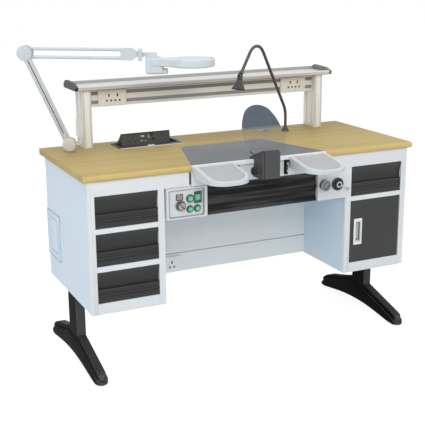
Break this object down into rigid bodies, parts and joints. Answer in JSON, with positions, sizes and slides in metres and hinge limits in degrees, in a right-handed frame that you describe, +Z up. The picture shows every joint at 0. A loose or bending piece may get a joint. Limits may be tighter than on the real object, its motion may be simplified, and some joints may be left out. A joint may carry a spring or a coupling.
{
  "type": "technician workbench",
  "caption": "Technician's bench with two pedestals, a wooden top, steel work plate, suction mouth with shield, armrests, gantry shelf and two lamps.",
  "frame": {"origin": "middle of the bench's whole box, on the floor", "axes": "+X to the seated user's right, +Y away from the user, +Z up"},
  "size_m": [1.4794, 0.8116, 1.2095],
  "materials": {
    "wood_top": "satin",
    "white_panel": "satin",
    "steel_plate": "brushed",
    "black_plastic": "matte",
    "black_metal": "satin",
    "aluminium": "anodised",
    "grey_plastic": "matte",
    "cream_plastic": "gloss",
    "white_plastic": "gloss",
    "soft_grey": "matte",
    "green_plastic": "gloss",
    "smoked_pane": "smoked",
    "clear_lens": "clear",
    "runner_steel": "zinc",
    "chromed": "polished"
  },
  "bodies": {
    "bench": {"worktop": "wood_top", "work_plate": "steel_plate", "left_cabinet": "white_panel", "right_cabinet": "white_panel", "front_frame": "white_panel", "side_cover": "white_panel", "kneehole_panel": "white_panel", "legs": "black_metal", "gantry_frame": "aluminium", "gantry_shelf": "aluminium", "shelf_end_caps": "grey_plastic", "power_sockets": "cream_plastic", "service_panels": "white_panel", "pressure_gauge": "chromed", "air_valve_body": "black_plastic", "suction_mouth": "black_plastic", "suction_duct": "grey_plastic", "dust_extractor": "grey_plastic", "armrest_shells": "white_plastic", "armrest_pads": "soft_grey", "armrest_brackets": "black_metal", "popup_frame": "black_plastic", "cable_grommet": "grey_plastic", "gooseneck_stand": "black_metal", "drawer_runners": "runner_steel", "magnifier_base": "black_metal"},
    "left_drawer_top": {"left_drawer_top_box": "white_panel", "left_drawer_top_front": "black_plastic"},
    "left_drawer_middle": {"left_drawer_middle_box": "white_panel", "left_drawer_middle_front": "black_plastic"},
    "left_drawer_bottom": {"left_drawer_bottom_box": "white_panel", "left_drawer_bottom_front": "black_plastic"},
    "right_drawer": {"right_drawer_box": "white_panel", "right_drawer_front": "black_plastic"},
    "centre_drawer": {"centre_drawer_box": "white_panel", "centre_drawer_front": "black_plastic"},
    "door": {"right_door": "black_plastic", "door_pull": "chromed"},
    "popup_sockets": {"popup_box": "black_plastic"},
    "latch": {"popup_latch": "aluminium"},
    "speed_knob": {"control_knob": "grey_plastic"},
    "rocker": {"power_rocker": "green_plastic"},
    "button_1": {"push_button_1": "green_plastic"},
    "button_2": {"push_button_2": "green_plastic"},
    "button_3": {"push_button_3": "green_plastic"},
    "valve_lever": {"air_valve_lever": "chromed"},
    "clamp_knob": {"mouth_clamp_knob": "black_plastic"},
    "shield_pane": {"shield": "smoked_pane", "shield_clip": "black_plastic"},
    "gooseneck_lamp_head": {"gooseneck_head": "black_metal"},
    "lamp_turret": {"magnifier_turret": "white_plastic"},
    "lower_bar_a": {"lower_arm_bar_a": "white_plastic"},
    "lower_bar_b": {"lower_arm_bar_b": "white_plastic"},
    "elbow": {"arm_elbow": "white_plastic"},
    "upper_tube_a": {"upper_arm_tube_a": "white_plastic"},
    "upper_tube_b": {"upper_arm_tube_b": "white_plastic"},
    "fork": {"arm_fork": "white_plastic"},
    "wing_knob": {"arm_wing_knob": "white_plastic"},
    "lamp_head": {"magnifier_head": "white_plastic", "magnifier_lens": "clear_lens"}
  },
  "joints": [
    {"name": "left_top_slide", "type": "slide", "parent": "bench", "child": "left_drawer_top", "axis": [0, -1, 0], "range_m": [0, 0.38]},
    {"name": "left_middle_slide", "type": "slide", "parent": "bench", "child": "left_drawer_middle", "axis": [0, -1, 0], "range_m": [0, 0.38]},
    {"name": "left_bottom_slide", "type": "slide", "parent": "bench", "child": "left_drawer_bottom", "axis": [0, -1, 0], "range_m": [0, 0.38]},
    {"name": "right_slide", "type": "slide", "parent": "bench", "child": "right_drawer", "axis": [0, -1, 0], "range_m": [0, 0.24]},
    {"name": "centre_slide", "type": "slide", "parent": "bench", "child": "centre_drawer", "axis": [0, -1, 0], "range_m": [0, 0.18]},
    {"name": "door_hinge", "type": "hinge", "parent": "bench", "child": "door", "pos_m": [0.68966, -0.20025, 0.445], "axis": [0, 0, 1], "range_deg": [0, 90]},
    {"name": "popup_tilt", "type": "hinge", "parent": "bench", "child": "popup_sockets", "pos_m": [-0.26034, 0.29275, 0.792], "axis": [1, 0, 0], "range_deg": [0, 40]},
    {"name": "latch_press", "type": "slide", "parent": "bench", "child": "latch", "axis": [0, -1, 0], "range_m": [0, 0.003], "stiffness_N_per_m": 150},
    {"name": "speed_turn", "type": "hinge", "parent": "bench", "child": "speed_knob", "pos_m": [-0.29334, -0.21625, 0.649], "axis": [0, -1, 0], "range_deg": [-140, 140]},
    {"name": "rocker_tip", "type": "hinge", "parent": "bench", "child": "rocker", "pos_m": [-0.22434, -0.21425, 0.6745], "axis": [1, 0, 0], "range_deg": [-8, 8]},
    {"name": "button_1_press", "type": "slide", "parent": "bench", "child": "button_1", "axis": [0, 1, 0], "range_m": [0, 0.0025], "stiffness_N_per_m": 300},
    {"name": "button_2_press", "type": "slide", "parent": "bench", "child": "button_2", "axis": [0, 1, 0], "range_m": [0, 0.0025], "stiffness_N_per_m": 300},
    {"name": "button_3_press", "type": "slide", "parent": "bench", "child": "button_3", "axis": [0, 1, 0], "range_m": [0, 0.0025], "stiffness_N_per_m": 300},
    {"name": "valve_turn", "type": "hinge", "parent": "bench", "child": "valve_lever", "pos_m": [0.38566, -0.23125, 0.657], "axis": [0, -1, 0], "range_deg": [-60, 90]},
    {"name": "clamp_turn", "type": "hinge", "parent": "bench", "child": "clamp_knob", "pos_m": [-0.00534, -0.27125, 0.761], "axis": [-1, 0, 0], "range_deg": [-180, 180]},
    {"name": "shield_tilt", "type": "hinge", "parent": "bench", "child": "shield_pane", "pos_m": [0.03966, -0.27725, 0.825], "axis": [1, 0, 0], "range_deg": [-25, 30]},
    {"name": "gooseneck_tilt", "type": "hinge", "parent": "bench", "child": "gooseneck_lamp_head", "pos_m": [0.0942, 0.06135, 1.07288], "axis": [0.5, -0.866, 0], "range_deg": [-35, 35]},
    {"name": "lamp_swivel", "type": "hinge", "parent": "bench", "child": "lamp_turret", "pos_m": [-0.56834, 0.23375, 0.807], "axis": [0, 0, 1], "range_deg": [-65, 20]},
    {"name": "lower_arm_tilt", "type": "hinge", "parent": "lamp_turret", "child": "lower_bar_a", "pos_m": [-0.58012, 0.23124, 0.826], "axis": [0.4939, 0.8695, 0], "range_deg": [-15, 40]},
    {"name": "lower_arm_follow", "type": "hinge", "parent": "lamp_turret", "child": "lower_bar_b", "pos_m": [-0.56446, 0.22235, 0.826], "axis": [0.4939, 0.8695, 0], "range_deg": [-15, 40]},
    {"name": "elbow_level", "type": "hinge", "parent": "lower_bar_a", "child": "elbow", "pos_m": [-0.71338, 0.31615, 1.18046], "axis": [0.4939, 0.8695, 0], "range_deg": [-40, 15]},
    {"name": "upper_arm_tilt", "type": "hinge", "parent": "elbow", "child": "upper_tube_a", "pos_m": [-0.69291, 0.31372, 1.19646], "axis": [0.4939, 0.8695, 0], "range_deg": [-35, 20]},
    {"name": "upper_arm_follow", "type": "hinge", "parent": "elbow", "child": "upper_tube_b", "pos_m": [-0.69291, 0.31372, 1.16446], "axis": [0.4939, 0.8695, 0], "range_deg": [-35, 20]},
    {"name": "fork_level", "type": "hinge", "parent": "upper_tube_a", "child": "fork", "pos_m": [-0.3727, 0.12261, 1.19246], "axis": [0.4939, 0.8695, 0], "range_deg": [-20, 35]},
    {"name": "wing_turn", "type": "hinge", "parent": "fork", "child": "wing_knob", "pos_m": [-0.32421, 0.07437, 1.17496], "axis": [-0.4939, -0.8695, 0], "range_deg": [-90, 90]},
    {"name": "lamp_head_tilt", "type": "hinge", "parent": "fork", "child": "lamp_head", "pos_m": [-0.31137, 0.09697, 1.17496], "axis": [0.4939, 0.8695, 0], "range_deg": [-45, 45]}
  ],
  "couplings": [
    {"joint": "lower_arm_follow", "follows": "lower_arm_tilt", "ratio": 1},
    {"joint": "elbow_level", "follows": "lower_arm_tilt", "ratio": -1},
    {"joint": "upper_arm_follow", "follows": "upper_arm_tilt", "ratio": 1},
    {"joint": "fork_level", "follows": "upper_arm_tilt", "ratio": -1}
  ]
}
